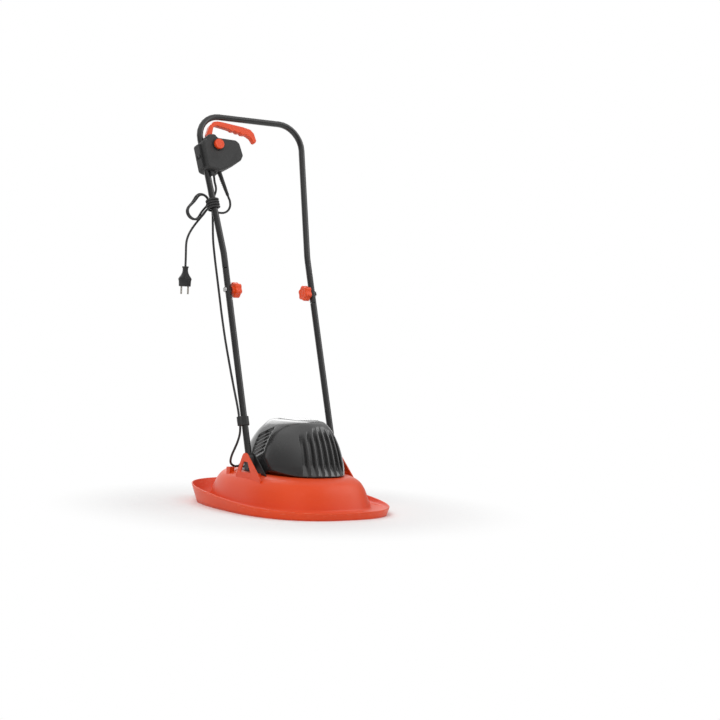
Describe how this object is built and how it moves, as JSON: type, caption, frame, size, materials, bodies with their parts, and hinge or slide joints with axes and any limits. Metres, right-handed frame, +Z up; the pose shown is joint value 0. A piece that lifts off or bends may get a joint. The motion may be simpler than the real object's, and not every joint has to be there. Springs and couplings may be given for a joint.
{
  "type": "hover mower",
  "caption": "Electric hover mower with a flared oval deck, domed motor cover over a lift fan and bar blade, and a folding tube handle with switch box, lever and tied mains lead.",
  "frame": {"origin": "on the ground, under the middle of the deck", "axes": "+Z up, front of the mower towards -Y, handle pivot axis along X"},
  "size_m": [0.4285, 0.54, 0.9778],
  "materials": {
    "orange_plastic": "satin moulded",
    "cover_plastic": "semi-gloss",
    "silver_plate": "plain satin",
    "charcoal_plastic": "matte",
    "black_plastic": "matte",
    "black_rubber": "flexible sheath",
    "tube_paint": "dark satin coat",
    "steel": "bright",
    "copper": "bare winding and bars",
    "pin_metal": "plated"
  },
  "bodies": {
    "deck": {"deck_hood": "orange_plastic", "motor_cover": "cover_plastic", "cover_top_plate": "silver_plate", "cover_screws": "steel", "motor_mount": "charcoal_plastic", "mount_screws": "steel", "motor_can": "steel", "motor_end_cap": "charcoal_plastic", "stator": "steel", "carbon_brushes": "black_plastic", "lower_bearing": "steel", "upper_bearing": "steel", "handle_bracket_right": "orange_plastic", "handle_bracket_left": "orange_plastic", "bracket_plate_right": "black_plastic", "bracket_plate_left": "black_plastic", "bracket_screws": "steel", "pivot_pins": "steel", "cable_hook": "orange_plastic", "cable_grommet": "black_rubber"},
    "rotor": {"motor_shaft": "steel", "armature": "copper", "commutator": "copper", "impeller_fan": "charcoal_plastic", "blade_spacers": "orange_plastic", "cutting_blade": "steel", "blade_washer": "steel", "blade_bolt": "steel"},
    "lower_handle": {"tube_ferrule_right": "black_plastic", "tube_ferrule_left": "black_plastic", "lower_tube_right": "tube_paint", "lower_tube_left": "tube_paint", "joint_bolt_right": "steel", "joint_bolt_left": "steel", "cable_clip": "black_plastic", "motor_cable_lower": "black_rubber"},
    "upper_handle": {"upper_tube": "tube_paint", "switch_box_front": "charcoal_plastic", "switch_box_rear": "charcoal_plastic", "box_clamp_strap": "charcoal_plastic", "box_screws": "steel", "microswitch": "black_plastic", "lever_pin": "steel", "lever_spring": "steel", "button_collar": "black_plastic", "button_spring": "steel", "strain_relief": "black_rubber", "motor_cable_gland": "black_rubber", "cord_hook": "black_plastic", "motor_cable_upper": "black_rubber", "mains_lead_loop": "black_rubber", "leg_tie": "black_rubber", "mains_hank": "black_rubber", "mains_tail": "black_rubber", "plug_body": "black_plastic", "plug_pins": "pin_metal"},
    "knob_right_body": {"knob_right": "orange_plastic"},
    "knob_left_body": {"knob_left": "orange_plastic"},
    "lever_body": {"switch_lever": "orange_plastic"},
    "button_body": {"lock_button": "orange_plastic"}
  },
  "joints": [
    {"name": "rotor_spin", "type": "hinge", "parent": "deck", "child": "rotor", "pos_m": [0, 0, 0.1], "axis": [0, 0, 1], "continuous": true},
    {"name": "handle_pivot", "type": "hinge", "parent": "deck", "child": "lower_handle", "pos_m": [0, -0.008, 0.122], "axis": [-1, 0, 0], "range_deg": [-12, 73], "deforming": ["motor_cable_lower"]},
    {"name": "handle_fold", "type": "hinge", "parent": "lower_handle", "child": "upper_handle", "pos_m": [0, 0.1207, 0.53019], "axis": [1, 0, 0], "range_deg": [0, 140], "deforming": ["motor_cable_upper"]},
    {"name": "knob_right_turn", "type": "hinge", "parent": "lower_handle", "child": "knob_right_body", "pos_m": [-0.106, 0.1207, 0.53019], "axis": [1, 0, 0], "continuous": true},
    {"name": "knob_left_turn", "type": "hinge", "parent": "lower_handle", "child": "knob_left_body", "pos_m": [0.106, 0.1207, 0.53019], "axis": [-1, 0, 0], "continuous": true},
    {"name": "lever_squeeze", "type": "hinge", "parent": "upper_handle", "child": "lever_body", "pos_m": [-0.12809, 0.23859, 0.90407], "axis": [0, -0.9537, 0.3007], "range_deg": [0, 5.5], "stiffness_Nm_per_rad": 2, "springref_deg": -11.46},
    {"name": "button_press", "type": "slide", "parent": "upper_handle", "child": "button_body", "axis": [0, 0.9537, -0.3007], "range_m": [0, 0.004], "stiffness_N_per_m": 400, "springref_m": -0.004, "deforming": ["button_spring"]}
  ]
}
